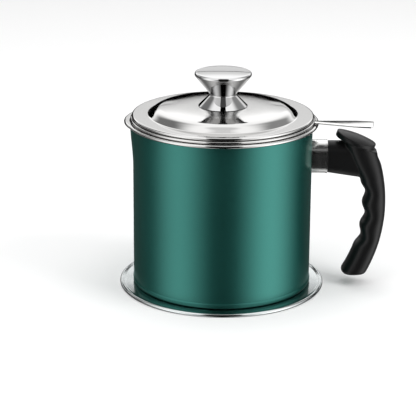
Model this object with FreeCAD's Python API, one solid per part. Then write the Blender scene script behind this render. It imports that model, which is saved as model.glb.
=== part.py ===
"""Grease container with strainer: a lidded pouring pot on a drip tray, in millimetres.

Frame: the origin is the centre of the tray's foot on the table, +Z is up, the handle points along +X and the
pouring lip along -X. Pieces stack upwards: tray, pot, strainer, lid. Sheet-metal pieces are drawn as the middle
line of their sheet, in the plane through the axis, and turned about the axis.
"""
import FreeCAD
import Part
import math
import os

from FreeCAD import Vector

# --- driving dimensions ------------------------------------------------------------------------------------------

# drip tray: a flat plate whose edge is rolled down to the table
TRAY_DIAMETER = 140.0
TRAY_SHEET = 0.6
TRAY_SEAT_HEIGHT = 2.0        # top of the flat plate above the table
TRAY_HEM_HEIGHT = 2.6         # top of the rolled edge above the table
TRAY_FOOT_WIDTH = 1.2         # flat land under the rolled edge
TRAY_STEP_SLOPE = 30.0        # degrees, where the plate steps up to its edge

# pot: a drawn cup with a rolled rim and a pouring lip
POT_DIAMETER = 121.0
POT_HEIGHT = 113.6            # underside to the top of the rim
POT_SHEET = 0.6
POT_FOOT_BULGE = 0.4          # how far the foot stands proud of the wall
POT_FOOT_HEIGHT = 3.2
POT_CORNER = 2.0
POT_RIM_REACH = 4.0           # how far the rolled rim stands out from the wall
POT_RIM_BEAD = 2.1            # height of the rolled rim
POT_RIM_BEND = 1.0
LIP_THROW = 1.9               # how far the pouring lip stands out beyond the round rim
LIP_HALF_ANGLE = 21.0         # degrees of the rim that the lip takes, each side of -X
LIP_HEIGHT = 30.0             # the wall starts to flare this far below the rim's root
LIP_BLEND_RATIO = 2.0         # radius of the lip's hollow shoulders over the radius of its nose
LIP_STEPS = 7

# handle: a moulded grip on a steel ferrule, drawn up by one long screw
HANDLE_AXIS_DROP = 25.0       # the screw's axis below the top of the pot's rim
FERRULE_HEIGHT = 22.7
FERRULE_WIDTH = 17.0
FERRULE_WALL = 0.8
FERRULE_LENGTH = 10.3         # from the pot's wall to the grip
FERRULE_LIP_LENGTH = 0.9
FERRULE_LIP_PROUD = 0.3
BRACKET_PLATE = 1.2
BRACKET_BOSS_DIAMETER = 10.0
BRACKET_BOSS_LENGTH = 7.0     # from the plate outwards
SPIGOT_LENGTH = 4.5
NECK_LENGTH = 26.0
NECK_DROP = 3.8               # how much deeper the neck gets where it meets the grip
NECK_INSET = 0.35             # the grip's end is this much smaller than the ferrule, all round
GRIP_STAND_OFF = 50.9         # outermost point of the grip from the pot's wall
GRIP_BACK_RADIUS = 107.0      # the back of the grip is one arc
GRIP_BACK_DROP = 33.6         # the arc's centre below the screw's axis
GRIP_WIDTH = 21.0
GRIP_DEPTH = 16.0             # from the back to the ridges between the fingers
GRIP_TOP_DEPTH = 25.0         # under the thumb pad
GRIP_TOP_ANGLE = 20.8         # degrees round the back's arc, from level, where the thumb pad sits
GRIP_NECK_ANGLE = 12.0        # where the grip leaves the neck
GRIP_ROUNDING = 1.07          # 1 gives the section its flattest sides, more makes it more pointed
GRIP_SECTIONS = 32
GRIP_END_HEIGHT = 5.9         # underside of the grip above the pot's underside
GRIP_END_TILT = 2.5           # degrees
GRIP_END_EDGE = 2.2
FINGERS = 3
FINGER_FIRST_ANGLE = 5.7      # where the top finger hollow is
FINGER_PITCH = 18.2           # along the back
FINGER_DEPTH = 2.4
PAD_LENGTH = 27.8
PAD_WIDTH = 25.6
PAD_THICKNESS = 5.8
PAD_SET_BACK = 2.4            # from the grip's back
PAD_LEAN = 20.0               # degrees, down towards the back
PAD_LONG_RADIUS = 60.0        # crown along the pad
PAD_CROSS_RADIUS = 28.5       # crown across the pad
PAD_EDGE = 0.9

# screws and washers: pan heads with a cross recess
SCREW_DIAMETER = 4.8
SCREW_CLEARANCE = 0.35        # round a screw where it passes through a piece
THREAD_CLEARANCE = 0.05       # round a screw where it is threaded into a piece
FIT_CLEARANCE = 0.15          # between pieces that plug into each other
HANDLE_SCREW_HEAD = 8.4
HANDLE_SCREW_HEAD_HEIGHT = 3.0
HANDLE_SCREW_RECESS = 14.0    # from the back of the grip to the seat under the washers
WASHER_THICKNESS = 1.0
WASHER_WIDTH = 1.5            # from the washer's hole to its edge
SPRING_WASHER_WIDTH = 1.3
SPRING_WASHER_GAP = 1.2
SCREW_SLOT = 1.1              # width of one arm of the cross recess

# strainer: a rolled frame, a woven cup clamped inside it, and a flat lifting tab
STRAINER_SHEET = 0.5
STRAINER_GAP = 0.6            # between the frame's skirt and the pot's wall
STRAINER_REACH = 2.9          # how far the frame's rolled edge stands out from its skirt
STRAINER_BEAD = 1.7
STRAINER_BEND = 0.9
STRAINER_SKIRT = 10.5         # height of the frame, top to bottom
SEAT_GAP = 0.15               # between stacked rolled edges
MESH_THICKNESS = 0.45
MESH_DEPTH = 40.0             # top of the frame to the underside of the mesh
MESH_BOTTOM_DIAMETER = 96.0
MESH_CORNER = 9.0
MESH_BEND = 4.5               # where the cup's wall turns upright into the clamp
CLAMP_SHEET = 0.5
CLAMP_HEIGHT = 4.5
TAB_ROOT_WIDTH = 5.4
TAB_END_WIDTH = 14.6
TAB_THICKNESS = 0.9
TAB_LENGTH = 38.9             # from the frame's edge to the tab's end
TAB_FLARE_END = 27.0          # where the tab reaches its full width
TAB_CORNER = 1.6
TAB_TURN = 8.0                # degrees that the strainer stands turned from the handle

# lid: a pressed dome with a rolled edge and a locating skirt under it
LID_SHEET = 0.6
LID_SET_BACK = 1.0            # the lid's edge lies this far inside the strainer's edge
LID_BEAD = 2.2
LID_FLANGE = 9.4              # flat width between the dome's foot and the rolled edge's middle
DOME_RISE = 5.6               # from the flange to the flat seat of the knob
DOME_FOOT_BEND = 1.8
DOME_SHOULDER_RADIUS = 10.0
DOME_CROWN_RADIUS = 300.0
DOME_WALL_SLOPE = 42.0        # degrees, between the shoulder and the foot bend
KNOB_SEAT_DIAMETER = 36.0     # flat in the middle of the dome
LID_SKIRT_GAP = 0.5           # between the locating skirt and the strainer's frame
LID_SKIRT_SHEET = 0.5
LID_SKIRT_CLEARANCE = 0.2     # between the bottom of the locating skirt and the top of the pot's rim

# knob: a pressed hourglass with a domed cap, held by a screw from below
KNOB_SHEET = 0.8
KNOB_BASE_DIAMETER = 33.2
KNOB_WAIST_DIAMETER = 17.0
KNOB_TOP_DIAMETER = 38.2
KNOB_WAIST_HEIGHT = 8.0
KNOB_RIM_HEIGHT = 21.8
KNOB_CAP_EDGE = 0.8
KNOB_CAP_SLOPE = 3.0          # degrees, where the cap's crown meets its rounded edge
KNOB_WAIST_BEND = 1.4
KNOB_RIM_BEND = 0.6
KNOB_BOSS_OVERRUN = 2.0       # how far the boss reaches up past the waist
KNOB_SCREW_HEAD = 9.0
KNOB_SCREW_HEAD_HEIGHT = 2.6
KNOB_SCREW_LENGTH = 12.0      # under the head
KNOB_WASHER_DIAMETER = 14.0

# --- sizes that follow from them -----------------------------------------------------------------------------------

AXIS = Vector(0, 0, 1)
POT_RADIUS = POT_DIAMETER / 2
POT_BOTTOM = TRAY_SEAT_HEIGHT
POT_TOP = POT_BOTTOM + POT_HEIGHT
RIM_ROOT = POT_TOP - POT_SHEET / 2 - POT_RIM_BEND      # where the wall starts to bend out into the rim
HANDLE_Z = POT_TOP - HANDLE_AXIS_DROP
GRIP_START = POT_RADIUS + FERRULE_LENGTH
GRIP_BACK = POT_RADIUS + GRIP_STAND_OFF
HANDLE_SCREW_SEAT = GRIP_BACK - HANDLE_SCREW_RECESS
SCREW_RADIUS = SCREW_DIAMETER / 2
SCREW_HOLE = SCREW_RADIUS + SCREW_CLEARANCE
THREAD_HOLE = SCREW_RADIUS + THREAD_CLEARANCE

SKIRT_RADIUS = POT_RADIUS - POT_SHEET - STRAINER_GAP   # outside of the strainer's frame
STRAINER_RADIUS = SKIRT_RADIUS + STRAINER_REACH
STRAINER_BOTTOM = POT_TOP + SEAT_GAP                   # underside of the strainer's rolled edge
STRAINER_TOP = STRAINER_BOTTOM + STRAINER_BEAD

LID_RADIUS = STRAINER_RADIUS - LID_SET_BACK
LID_BOTTOM = STRAINER_TOP + SEAT_GAP
LID_TOP = LID_BOTTOM + LID_BEAD                        # top of the flat flange
LID_BEAD_MIDDLE = LID_RADIUS - LID_BEAD / 2
DOME_FOOT_RADIUS = LID_BEAD_MIDDLE - LID_FLANGE


# --- drawing helpers -----------------------------------------------------------------------------------------------

def unit(angle):
    """Direction in the XZ plane at an angle in degrees above +X."""
    return Vector(math.cos(math.radians(angle)), 0, math.sin(math.radians(angle)))


def line(a, b):
    return Part.LineSegment(a, b).toShape()


def arc(a, middle, b):
    return Part.Arc(a, middle, b).toShape()


def sheet(start, heading, moves, thickness):
    """Face of a bent sheet in the XZ plane. The middle line leaves start at heading, in degrees. A move is
    (length,) for a straight run or (radius, turn) for a bend, where a positive turn is to the left."""
    sides = []
    for side in (thickness / 2, -thickness / 2):
        point, angle, edges = start, heading, []
        for move in moves:
            offset = unit(angle + 90) * side
            if len(move) == 1:
                after = point + unit(angle) * move[0]
                edges.append(line(point + offset, after + offset))
            else:
                radius, turn = move
                towards = 90 if turn > 0 else -90
                centre = point + unit(angle + towards) * radius
                reach = radius - side if turn > 0 else radius + side
                spoke = angle - towards
                edges.append(arc(*(centre + unit(spoke + turn * share) * reach for share in (0, 0.5, 1))))
                after = centre + unit(spoke + turn) * radius
                angle += turn
            point = after
        sides.append((edges, start + unit(heading + 90) * side, point + unit(angle + 90) * side))
    (left, left_start, left_end), (right, right_start, right_end) = sides
    edges = left + [line(left_end, right_end)] + right + [line(right_start, left_start)]
    return Part.Face(Part.Wire(Part.__sortEdges__(edges)))


def moves_through(points, bends):
    """(start, heading, moves) of a middle line through points, with a bend radius at each inner corner."""
    runs = [b - a for a, b in zip(points, points[1:])]
    angles = [math.degrees(math.atan2(run.z, run.x)) for run in runs]
    turns = [(b - a + 180) % 360 - 180 for a, b in zip(angles, angles[1:])]
    cuts = [0] + [r * math.tan(math.radians(abs(t)) / 2) for r, t in zip(bends, turns)] + [0]
    moves = []
    for index, run in enumerate(runs):
        moves.append((run.Length - cuts[index] - cuts[index + 1],))
        if index < len(turns):
            moves.append((bends[index], turns[index]))
    return points[0], angles[0], moves


def turned(face):
    """Solid swept by a face of the XZ plane turning once about the axis."""
    return face.revolve(Vector(0, 0, 0), AXIS, 360)


def ring(outer, inner, bottom, top):
    """Plain band about the axis."""
    height = top - bottom
    base = Vector(0, 0, bottom)
    return Part.makeCylinder(outer, height, base).cut(Part.makeCylinder(inner, height, base))


def slot_wire(x, width, height, middle_z):
    """Upright oval with flat sides, across the X axis at x: straight sides and half-round ends."""
    radius, flat = width / 2, (height - width) / 2
    corners = [Vector(x, y, middle_z + z) for y, z in
               ((-radius, -flat), (-radius, flat), (radius, flat), (radius, -flat))]
    top, bottom = (Vector(x, 0, middle_z + s * height / 2) for s in (1, -1))
    return Part.Wire([line(corners[0], corners[1]), arc(corners[1], top, corners[2]),
                      line(corners[2], corners[3]), arc(corners[3], bottom, corners[0])])


def slot_bar(start, end, width, height, middle_z=HANDLE_Z):
    """Bar along X with an upright oval section."""
    return Part.Face(slot_wire(start, width, height, middle_z)).extrude(Vector(end - start, 0, 0))


def bar(radius, start, end, middle_z=HANDLE_Z):
    """Round bar along X."""
    return Part.makeCylinder(radius, end - start, Vector(start, 0, middle_z), Vector(1, 0, 0))


# --- drip tray -----------------------------------------------------------------------------------------------------

def tray():
    plate_z = TRAY_SEAT_HEIGHT - TRAY_SHEET / 2
    hem_radius = (TRAY_HEM_HEIGHT - TRAY_SHEET) / 2
    rise = TRAY_HEM_HEIGHT - TRAY_SEAT_HEIGHT
    step_bend = rise / 2 / (1 - math.cos(math.radians(TRAY_STEP_SLOPE)))
    hem_start = TRAY_DIAMETER / 2 - TRAY_SHEET / 2 - hem_radius
    plate = hem_start - 2 * step_bend * math.sin(math.radians(TRAY_STEP_SLOPE))
    moves = [(plate,), (step_bend, TRAY_STEP_SLOPE), (step_bend, -TRAY_STEP_SLOPE),
             (hem_radius, -180), (TRAY_FOOT_WIDTH,), (hem_radius * 0.6, -70)]
    return turned(sheet(Vector(0, 0, plate_z), 0, moves, TRAY_SHEET))


# --- pot -----------------------------------------------------------------------------------------------------------

def lip_arcs(throw, offset=0.0):
    """The pot's outline, seen from above, at one height, as [centre x, centre y, radius, start angle, end angle].
    The round wall flows through a hollow shoulder into the nose of the lip, and back. offset moves the outline
    out, square to itself."""
    reach = POT_RADIUS + throw
    half = math.radians(LIP_HALF_ANGLE)
    k = LIP_BLEND_RATIO
    a = 2 * k * (math.cos(half) - 1)
    b = 2 * (POT_RADIUS * k - reach) + 2 * math.cos(half) * (POT_RADIUS - k * reach)
    c = POT_RADIUS ** 2 + reach ** 2 - 2 * POT_RADIUS * reach * math.cos(half)
    nose = (-b - math.sqrt(b * b - 4 * a * c)) / (2 * a)
    shoulder = k * nose
    nose_x = -(reach - nose)
    shoulder_x = -(POT_RADIUS + shoulder) * math.cos(half)
    shoulder_y = (POT_RADIUS + shoulder) * math.sin(half)
    nose_half = math.degrees(math.atan2(shoulder_y, nose_x - shoulder_x))
    side = 180 - LIP_HALF_ANGLE
    return [
        [0, 0, POT_RADIUS + offset, 0, side],
        [shoulder_x, shoulder_y, shoulder - offset, side - 180, -nose_half],
        [nose_x, 0, nose + offset, 180 - nose_half, 180 + nose_half],
        [shoulder_x, -shoulder_y, shoulder - offset, nose_half, 180 - side],
        [0, 0, POT_RADIUS + offset, 360 - side, 360],
    ]


def lip_wire(throw, offset, z):
    """Closed outline of the pot at height z. With no throw it is the plain circle, cut where the full lip's
    arcs meet, so that it pairs with the outlines above it."""
    if throw > 0:
        edges = []
        for x, y, radius, start, end in lip_arcs(throw, offset):
            spots = [Vector(x, y, z) + FreeCAD.Rotation(AXIS, angle).multVec(Vector(radius, 0, 0))
                     for angle in (start, (start + end) / 2, end)]
            edges.append(arc(*spots))
        return Part.Wire(edges)
    cuts = [0.0]
    for x, y, radius, start, end in lip_arcs(LIP_THROW):
        spot = Vector(x, y, 0) + FreeCAD.Rotation(AXIS, end).multVec(Vector(radius, 0, 0))
        cuts.append(math.degrees(math.atan2(spot.y, spot.x)) % 360)
    cuts[-1] = 360.0
    radius = POT_RADIUS + offset
    edges = []
    for a, b in zip(cuts, cuts[1:]):
        edges.append(arc(*(Vector(0, 0, z) + FreeCAD.Rotation(AXIS, angle).multVec(Vector(radius, 0, 0))
                           for angle in (a, (a + b) / 2, b))))
    return Part.Wire(edges)


def flared_wall(offset):
    """Filled upper part of the pot, from the start of the lip's flare to the rim's root."""
    bottom = RIM_ROOT - LIP_HEIGHT
    wires = []
    for step in range(LIP_STEPS + 1):
        share = step / LIP_STEPS
        throw = LIP_THROW * share * share * (3 - 2 * share)
        wires.append(lip_wire(throw, offset, bottom + LIP_HEIGHT * share))
    return Part.makeLoft(wires, True, True)


def rolled_rim():
    """The rim, bent out from the wall and rolled under, following the outline with the lip."""
    middle = POT_RADIUS - POT_SHEET / 2
    roll = (POT_RIM_BEAD - POT_SHEET) / 2
    ledge = POT_RIM_REACH - POT_RIM_BEND - roll
    profile = sheet(Vector(middle, 0, RIM_ROOT), 90, [(POT_RIM_BEND, -90), (ledge,), (roll, -270)], POT_SHEET)
    pieces = []
    for x, y, radius, start, end in lip_arcs(LIP_THROW):
        hollow = end < start
        face = profile.copy()
        if hollow:
            face.rotate(Vector(POT_RADIUS, 0, 0), AXIS, 180)
        face.translate(Vector(x + radius - POT_RADIUS, y, 0))
        centre = Vector(x, y, 0)
        face.rotate(centre, AXIS, start)
        pieces.append(face.revolve(centre, AXIS, end - start))
    return pieces[0].multiFuse(pieces[1:])


def pot_body():
    middle = POT_RADIUS - POT_SHEET / 2
    floor_z = POT_BOTTOM + POT_SHEET / 2
    flare_start = RIM_ROOT - LIP_HEIGHT
    foot = middle + POT_FOOT_BULGE
    points = [Vector(0, 0, floor_z), Vector(foot, 0, floor_z), Vector(foot, 0, POT_BOTTOM + POT_FOOT_HEIGHT),
              Vector(middle, 0, POT_BOTTOM + POT_FOOT_HEIGHT + 2 * POT_FOOT_BULGE), Vector(middle, 0, flare_start)]
    start, heading, moves = moves_through(points, [POT_CORNER, POT_SHEET, POT_SHEET])
    cup = turned(sheet(start, heading, moves, POT_SHEET))
    wall = flared_wall(0).cut(flared_wall(-POT_SHEET))
    return cup.multiFuse([wall, rolled_rim()]).removeSplitter()


# --- handle --------------------------------------------------------------------------------------------------------

def pot_core(extra=0.0):
    """Filled round of the pot's wall, for fitting the handle's pieces against it."""
    return Part.makeCylinder(POT_RADIUS + extra, POT_HEIGHT, Vector(0, 0, POT_BOTTOM))


def handle_bracket():
    width = FERRULE_WIDTH - 2 * FERRULE_WALL - 2 * FIT_CLEARANCE
    height = FERRULE_HEIGHT - 2 * FERRULE_WALL - 2 * FIT_CLEARANCE
    front = POT_RADIUS + BRACKET_PLATE
    plate = slot_bar(POT_RADIUS / 2, front, width, height).cut(pot_core())
    plate = plate.common(pot_core(BRACKET_PLATE))
    boss_end = front + BRACKET_BOSS_LENGTH
    boss = bar(BRACKET_BOSS_DIAMETER / 2, POT_RADIUS / 2, boss_end).cut(pot_core())
    return plate.fuse(boss).cut(bar(THREAD_HOLE, front, boss_end)).removeSplitter()


def ferrule():
    tube = slot_bar(POT_RADIUS / 2, GRIP_START, FERRULE_WIDTH, FERRULE_HEIGHT)
    lip = slot_bar(GRIP_START - FERRULE_LIP_LENGTH, GRIP_START, FERRULE_WIDTH + 2 * FERRULE_LIP_PROUD,
                   FERRULE_HEIGHT + 2 * FERRULE_LIP_PROUD)
    hollow = slot_bar(POT_RADIUS / 2, GRIP_START, FERRULE_WIDTH - 2 * FERRULE_WALL,
                      FERRULE_HEIGHT - 2 * FERRULE_WALL)
    return tube.fuse(lip).cut(hollow).cut(pot_core())


def back_point(angle):
    """Point on the back of the grip, at an angle in degrees above level round the back's arc."""
    centre = Vector(GRIP_BACK - GRIP_BACK_RADIUS, 0, HANDLE_Z - GRIP_BACK_DROP)
    return centre + unit(angle) * GRIP_BACK_RADIUS


def grip_section(angle):
    """(depth, direction) of the grip at an angle round its back: square to the back with a hollow for each
    finger, and above the neck growing deeper and leaning over to the thumb pad's slope."""
    direction = angle + 180
    if angle > GRIP_NECK_ANGLE:
        share = (angle - GRIP_NECK_ANGLE) / (GRIP_TOP_ANGLE - GRIP_NECK_ANGLE)
        depth = GRIP_DEPTH + (GRIP_TOP_DEPTH - GRIP_DEPTH) * share ** 1.2
        return depth, direction + (180 - PAD_LEAN - direction) * share
    pitch = math.degrees(FINGER_PITCH / GRIP_BACK_RADIUS)
    fingers = (FINGER_FIRST_ANGLE - angle) / pitch
    if -0.5 < fingers < FINGERS - 0.5:
        return GRIP_DEPTH - FINGER_DEPTH * (1 + math.cos(2 * math.pi * fingers)) / 2, direction
    return GRIP_DEPTH, direction


def grip_core():
    """The curved grip: one closed surface through evenly spaced sections, cut off level at the tail."""
    end_z = POT_BOTTOM + GRIP_END_HEIGHT
    reach = (HANDLE_Z - GRIP_BACK_DROP - end_z + GRIP_DEPTH / 4) / (GRIP_BACK_RADIUS - GRIP_DEPTH)
    end_angle = -math.degrees(math.asin(reach))
    aside = Vector(0, GRIP_WIDTH / 2, 0)
    rails = []
    for index in range(8):
        size = math.sqrt(2) * (3 - 2 * GRIP_ROUNDING) if index % 2 else GRIP_ROUNDING
        spoke = math.pi / 4 * index
        points = []
        for step in range(GRIP_SECTIONS):
            angle = GRIP_TOP_ANGLE + (end_angle - GRIP_TOP_ANGLE) * step / (GRIP_SECTIONS - 1)
            depth, direction = grip_section(angle)
            inward = unit(direction) * (depth / 2)
            points.append(back_point(angle) + inward * (1 + size * math.cos(spoke)) + aside * size * math.sin(spoke))
        rail = Part.BSplineCurve()
        rail.interpolate(Points=points, Parameters=list(range(GRIP_SECTIONS)))
        rails.append(rail)
    surface = Part.BSplineSurface()
    surface.buildFromPolesMultsKnots([rail.getPoles() for rail in rails], [1] * 9, rails[0].getMultiplicities(),
                                     list(range(9)), rails[0].getKnots(), True, False, 3, 3)
    side = surface.toShape()
    ends = [Part.Face(Part.Wire(edge)) for edge in side.Edges if edge.isClosed()]
    shell = Part.Shell([side] + ends)
    shell.sewShape()
    core = Part.Solid(shell)
    below = Part.makeBox(2 * GRIP_BACK_RADIUS, 2 * GRIP_WIDTH, GRIP_BACK_RADIUS,
                         Vector(-GRIP_BACK_RADIUS, -GRIP_WIDTH, -GRIP_BACK_RADIUS))
    below.rotate(Vector(0, 0, 0), Vector(0, 1, 0), -GRIP_END_TILT)
    below.translate(Vector(back_point(end_angle).x, 0, end_z))
    core = core.cut(below)
    rim = [edge for edge in core.Edges if edge.BoundBox.ZMax < end_z + GRIP_DEPTH / 8]
    return core.makeFillet(GRIP_END_EDGE, rim)


def thumb_pad():
    """Crowned oval rest on top of the grip, leaning down towards the back."""
    oval = Part.Ellipse(Vector(0, 0, 0), PAD_LENGTH / 2, PAD_WIDTH / 2)
    slab = Part.Face(Part.Wire(oval.toShape())).extrude(Vector(0, 0, PAD_THICKNESS))
    dome = Part.makeTorus(PAD_LONG_RADIUS - PAD_CROSS_RADIUS, PAD_CROSS_RADIUS,
                          Vector(0, 0, PAD_THICKNESS - PAD_LONG_RADIUS), Vector(0, 1, 0))
    slab = slab.common(dome)
    slab = slab.makeFillet(PAD_EDGE, [edge for edge in slab.Edges if edge.BoundBox.DiagonalLength > PAD_WIDTH])
    slab.rotate(Vector(0, 0, 0), Vector(0, 1, 0), PAD_LEAN)
    slab.translate(back_point(GRIP_TOP_ANGLE) + unit(180 - PAD_LEAN) * (PAD_SET_BACK + PAD_LENGTH / 2))
    return slab


def handle_grip():
    width = FERRULE_WIDTH - 2 * NECK_INSET
    height = FERRULE_HEIGHT - 2 * NECK_INSET
    end = GRIP_START + NECK_LENGTH
    neck = Part.makeLoft([slot_wire(GRIP_START, width, height, HANDLE_Z),
                          slot_wire(end, width, height + NECK_DROP, HANDLE_Z - NECK_DROP / 2)], True, True)
    spigot = slot_bar(GRIP_START - SPIGOT_LENGTH, GRIP_START, FERRULE_WIDTH - 2 * (FERRULE_WALL + FIT_CLEARANCE),
                      FERRULE_HEIGHT - 2 * (FERRULE_WALL + FIT_CLEARANCE))
    grip = neck.multiFuse([spigot, grip_core(), thumb_pad()])
    socket_end = POT_RADIUS + BRACKET_PLATE + BRACKET_BOSS_LENGTH + FIT_CLEARANCE
    socket = bar(BRACKET_BOSS_DIAMETER / 2 + FIT_CLEARANCE, GRIP_START - SPIGOT_LENGTH, socket_end)
    passage = bar(SCREW_HOLE, socket_end, HANDLE_SCREW_SEAT)
    counterbore = bar(HANDLE_SCREW_HEAD / 2 + FIT_CLEARANCE, HANDLE_SCREW_SEAT, GRIP_BACK)
    return grip.cut(socket).cut(passage).cut(counterbore)


def cross_recess(x, height):
    """Cross-shaped cutter going into a head's outer face at x, towards -X."""
    depth = height * 0.6
    arm = height * 1.5
    upright = Part.makeBox(depth, SCREW_SLOT, arm, Vector(x - depth, -SCREW_SLOT / 2, HANDLE_Z - arm / 2))
    level = Part.makeBox(depth, arm, SCREW_SLOT, Vector(x - depth, -arm / 2, HANDLE_Z - SCREW_SLOT / 2))
    return upright.fuse(level)


def handle_washer():
    start = HANDLE_SCREW_SEAT
    end = start + WASHER_THICKNESS
    return bar(SCREW_HOLE + WASHER_WIDTH, start, end).cut(bar(SCREW_HOLE, start, end))


def handle_spring_washer():
    start = HANDLE_SCREW_SEAT + WASHER_THICKNESS
    end = start + WASHER_THICKNESS
    outer = SCREW_HOLE + SPRING_WASHER_WIDTH
    split = Part.makeBox(WASHER_THICKNESS, SPRING_WASHER_GAP, 2 * outer,
                         Vector(start, -SPRING_WASHER_GAP / 2, HANDLE_Z))
    return bar(outer, start, end).cut(bar(SCREW_HOLE, start, end)).cut(split)


def handle_screw():
    head = HANDLE_SCREW_SEAT + 2 * WASHER_THICKNESS
    tip = POT_RADIUS + BRACKET_PLATE + THREAD_CLEARANCE
    cap = bar(HANDLE_SCREW_HEAD / 2, head, head + HANDLE_SCREW_HEAD_HEIGHT)
    rim = [edge for edge in cap.Edges if abs(edge.CenterOfMass.x - cap.BoundBox.XMax) < THREAD_CLEARANCE]
    cap = cap.makeFillet(HANDLE_SCREW_HEAD_HEIGHT * 0.45, rim)
    shank = bar(SCREW_RADIUS, tip, head)
    return cap.fuse(shank).cut(cross_recess(head + HANDLE_SCREW_HEAD_HEIGHT, HANDLE_SCREW_HEAD_HEIGHT))


# --- strainer ------------------------------------------------------------------------------------------------------

def strainer_frame():
    middle = SKIRT_RADIUS - STRAINER_SHEET / 2
    top = STRAINER_TOP - STRAINER_SHEET / 2
    roll = (STRAINER_BEAD - STRAINER_SHEET) / 2
    bottom = STRAINER_TOP - STRAINER_SKIRT
    ledge = STRAINER_REACH - STRAINER_BEND - roll
    moves = [(top - STRAINER_BEND - bottom,), (STRAINER_BEND, -90), (ledge,), (roll, -270)]
    return turned(sheet(Vector(middle, 0, bottom), 90, moves, STRAINER_SHEET))


def mesh_radius():
    """Outside of the mesh where it is clamped in the frame."""
    return SKIRT_RADIUS - STRAINER_SHEET - THREAD_CLEARANCE


def strainer_mesh():
    middle = mesh_radius() - MESH_THICKNESS / 2
    floor_z = STRAINER_TOP - MESH_DEPTH + MESH_THICKNESS / 2
    clamp_bottom = STRAINER_TOP - STRAINER_SKIRT
    points = [Vector(0, 0, floor_z), Vector(MESH_BOTTOM_DIAMETER / 2, 0, floor_z),
              Vector(middle, 0, clamp_bottom - MESH_BEND / 2), Vector(middle, 0, clamp_bottom + CLAMP_HEIGHT)]
    start, heading, moves = moves_through(points, [MESH_CORNER, MESH_BEND])
    return turned(sheet(start, heading, moves, MESH_THICKNESS))


def strainer_clamp_ring():
    outer = mesh_radius() - MESH_THICKNESS - THREAD_CLEARANCE
    bottom = STRAINER_TOP - STRAINER_SKIRT
    return ring(outer, outer - CLAMP_SHEET, bottom, bottom + CLAMP_HEIGHT)


def strainer_tab():
    """Flat lifting tab, welded to the frame's rolled edge and lying over the handle."""
    root, flare, end = -STRAINER_BEAD / 2, TAB_FLARE_END, TAB_LENGTH
    half_root, half_end = TAB_ROOT_WIDTH / 2, TAB_END_WIDTH / 2
    corners = [(root, -half_root), (0, -half_root), (flare, -half_end), (end, -half_end),
               (end, half_end), (flare, half_end), (0, half_root), (root, half_root)]
    outline = Part.makePolygon([Vector(x, y, 0) for x, y in corners + corners[:1]])
    strip = Part.Face(outline).extrude(Vector(0, 0, TAB_THICKNESS))
    tip_corners = [edge for edge in strip.Edges
                   if edge.BoundBox.ZLength > TAB_THICKNESS / 2 and edge.CenterOfMass.x > (flare + end) / 2]
    strip = strip.makeFillet(TAB_CORNER, tip_corners)
    middle = (STRAINER_BOTTOM + STRAINER_TOP) / 2
    strip.translate(Vector(STRAINER_RADIUS, 0, middle - TAB_THICKNESS / 2))
    bead = Part.makeTorus(STRAINER_RADIUS - STRAINER_BEAD / 2, STRAINER_BEAD / 2, Vector(0, 0, middle))
    strip = strip.cut(bead)
    strip.rotate(Vector(0, 0, 0), AXIS, -TAB_TURN)
    return strip


# --- lid and knob --------------------------------------------------------------------------------------------------

def dome_moves():
    """(moves, seat height) of the lid's middle line from the axis to the flange. The crown's slope and the wall's
    length follow from the dome's rise and the place of its foot."""
    wall, seat = math.radians(DOME_WALL_SLOPE), KNOB_SEAT_DIAMETER / 2
    radius = DOME_CROWN_RADIUS - DOME_SHOULDER_RADIUS
    run = DOME_FOOT_RADIUS - seat - (DOME_SHOULDER_RADIUS + DOME_FOOT_BEND) * math.sin(wall)
    fall = (DOME_RISE - DOME_CROWN_RADIUS + DOME_SHOULDER_RADIUS * math.cos(wall)
            - DOME_FOOT_BEND * (1 - math.cos(wall)))
    crown = wall - math.acos((run * math.sin(wall) - fall * math.cos(wall)) / radius)
    straight = (run - radius * math.sin(crown)) / math.cos(wall)
    slope = math.degrees(crown)
    moves = [(seat,), (DOME_CROWN_RADIUS, -slope), (DOME_SHOULDER_RADIUS, slope - DOME_WALL_SLOPE), (straight,),
             (DOME_FOOT_BEND, DOME_WALL_SLOPE)]
    return moves, LID_TOP + DOME_RISE


def lid_shell():
    moves, seat = dome_moves()
    roll = (LID_BEAD - LID_SHEET) / 2
    shell = turned(sheet(Vector(0, 0, seat - LID_SHEET / 2), 0, moves + [(LID_FLANGE,), (roll, -270)], LID_SHEET))
    return shell.cut(Part.makeCylinder(SCREW_HOLE, 4 * LID_SHEET, Vector(0, 0, seat - 2 * LID_SHEET)))


def lid_skirt():
    outer = SKIRT_RADIUS - STRAINER_SHEET - LID_SKIRT_GAP
    return ring(outer, outer - LID_SKIRT_SHEET, POT_TOP + LID_SKIRT_CLEARANCE, LID_TOP - LID_SHEET)


def knob_base_z():
    return dome_moves()[1]


def knob_body():
    half, base = KNOB_SHEET / 2, knob_base_z()
    points = [Vector(KNOB_BASE_DIAMETER / 2 - half, 0, base),
              Vector(KNOB_WAIST_DIAMETER / 2 - half, 0, base + KNOB_WAIST_HEIGHT),
              Vector(KNOB_TOP_DIAMETER / 2 - half, 0, base + KNOB_RIM_HEIGHT - KNOB_RIM_BEND),
              Vector(KNOB_TOP_DIAMETER / 2 - half, 0, base + KNOB_RIM_HEIGHT)]
    start, heading, moves = moves_through(points, [KNOB_WAIST_BEND, KNOB_RIM_BEND])
    shell = turned(sheet(start, heading, moves, KNOB_SHEET))
    return shell.cut(Part.makeCylinder(KNOB_BASE_DIAMETER, KNOB_SHEET, Vector(0, 0, base - KNOB_SHEET)))


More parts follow.
